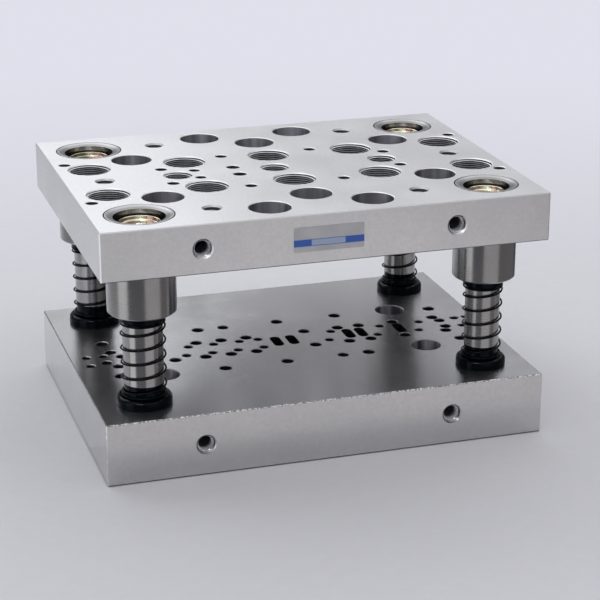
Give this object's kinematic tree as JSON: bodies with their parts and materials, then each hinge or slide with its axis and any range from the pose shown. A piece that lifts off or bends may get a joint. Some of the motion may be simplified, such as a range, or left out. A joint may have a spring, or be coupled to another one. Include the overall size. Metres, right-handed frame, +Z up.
{
  "type": "press die set",
  "caption": "Ball-guided press die set: drilled upper and lower steel plates running on sprung ball-cage guide posts.",
  "frame": {"origin": "centre of the lower plate's underside", "axes": "+Z up along the guide posts, +X along the plates' length, -Y towards the face with the nameplate"},
  "size_m": [0.32, 0.2403, 0.181],
  "materials": {
    "lower_plate_steel": "surface ground, with a fine straight grain",
    "upper_plate_steel": "surface ground, bright and even",
    "nameplate_print": "satin printed foil, blue band on silver",
    "post_steel": "cylindrically ground, bright",
    "collar_black": "gloss black oxide, oiled",
    "bush_steel": "cylindrically ground",
    "cage_brass": "machined",
    "ball_steel": "polished",
    "ring_black": "gloss black oxide, oiled",
    "spring_black": "black oil-tempered wire",
    "cap_brass": "yellow passivated, bright",
    "screw_steel": "bright zinc"
  },
  "bodies": {
    "lower": {"lower_plate": "lower_plate_steel", "guide_post_front_left": "post_steel", "guide_post_front_right": "post_steel", "guide_post_rear_left": "post_steel", "guide_post_rear_right": "post_steel", "post_collar_front_left": "collar_black", "post_collar_front_right": "collar_black", "post_collar_rear_left": "collar_black", "post_collar_rear_right": "collar_black", "cage_spring_front_left": "spring_black", "cage_spring_front_right": "spring_black", "cage_spring_rear_left": "spring_black", "cage_spring_rear_right": "spring_black", "stop_cap_front_left": "cap_brass", "stop_cap_front_right": "cap_brass", "stop_cap_rear_left": "cap_brass", "stop_cap_rear_right": "cap_brass", "stop_cap_screw_front_left": "screw_steel", "stop_cap_screw_front_right": "screw_steel", "stop_cap_screw_rear_left": "screw_steel", "stop_cap_screw_rear_right": "screw_steel"},
    "upper": {"upper_plate": "upper_plate_steel", "nameplate": "nameplate_print", "guide_bush_front_left": "bush_steel", "guide_bush_front_right": "bush_steel", "guide_bush_rear_left": "bush_steel", "guide_bush_rear_right": "bush_steel"},
    "cage_front_left": {"ball_cage_front_left": "cage_brass", "cage_balls_front_left": "ball_steel", "cage_foot_ring_front_left": "ring_black"},
    "cage_front_right": {"ball_cage_front_right": "cage_brass", "cage_balls_front_right": "ball_steel", "cage_foot_ring_front_right": "ring_black"},
    "cage_rear_left": {"ball_cage_rear_left": "cage_brass", "cage_balls_rear_left": "ball_steel", "cage_foot_ring_rear_left": "ring_black"},
    "cage_rear_right": {"ball_cage_rear_right": "cage_brass", "cage_balls_rear_right": "ball_steel", "cage_foot_ring_rear_right": "ring_black"}
  },
  "joints": [
    {"name": "press_stroke", "type": "slide", "parent": "lower", "child": "upper", "axis": [0, 0, 1], "range_m": [-0.005, 0.03]},
    {"name": "cage_travel_front_left", "type": "slide", "parent": "lower", "child": "cage_front_left", "axis": [0, 0, 1], "range_m": [-0.0025, 0.015], "deforming": ["cage_spring_front_left"]},
    {"name": "cage_travel_front_right", "type": "slide", "parent": "lower", "child": "cage_front_right", "axis": [0, 0, 1], "range_m": [-0.0025, 0.015], "deforming": ["cage_spring_front_right"]},
    {"name": "cage_travel_rear_left", "type": "slide", "parent": "lower", "child": "cage_rear_left", "axis": [0, 0, 1], "range_m": [-0.0025, 0.015], "deforming": ["cage_spring_rear_left"]},
    {"name": "cage_travel_rear_right", "type": "slide", "parent": "lower", "child": "cage_rear_right", "axis": [0, 0, 1], "range_m": [-0.0025, 0.015], "deforming": ["cage_spring_rear_right"]}
  ],
  "couplings": [
    {"joint": "cage_travel_front_left", "follows": "press_stroke", "ratio": 0.5},
    {"joint": "cage_travel_front_right", "follows": "press_stroke", "ratio": 0.5},
    {"joint": "cage_travel_rear_left", "follows": "press_stroke", "ratio": 0.5},
    {"joint": "cage_travel_rear_right", "follows": "press_stroke", "ratio": 0.5}
  ]
}
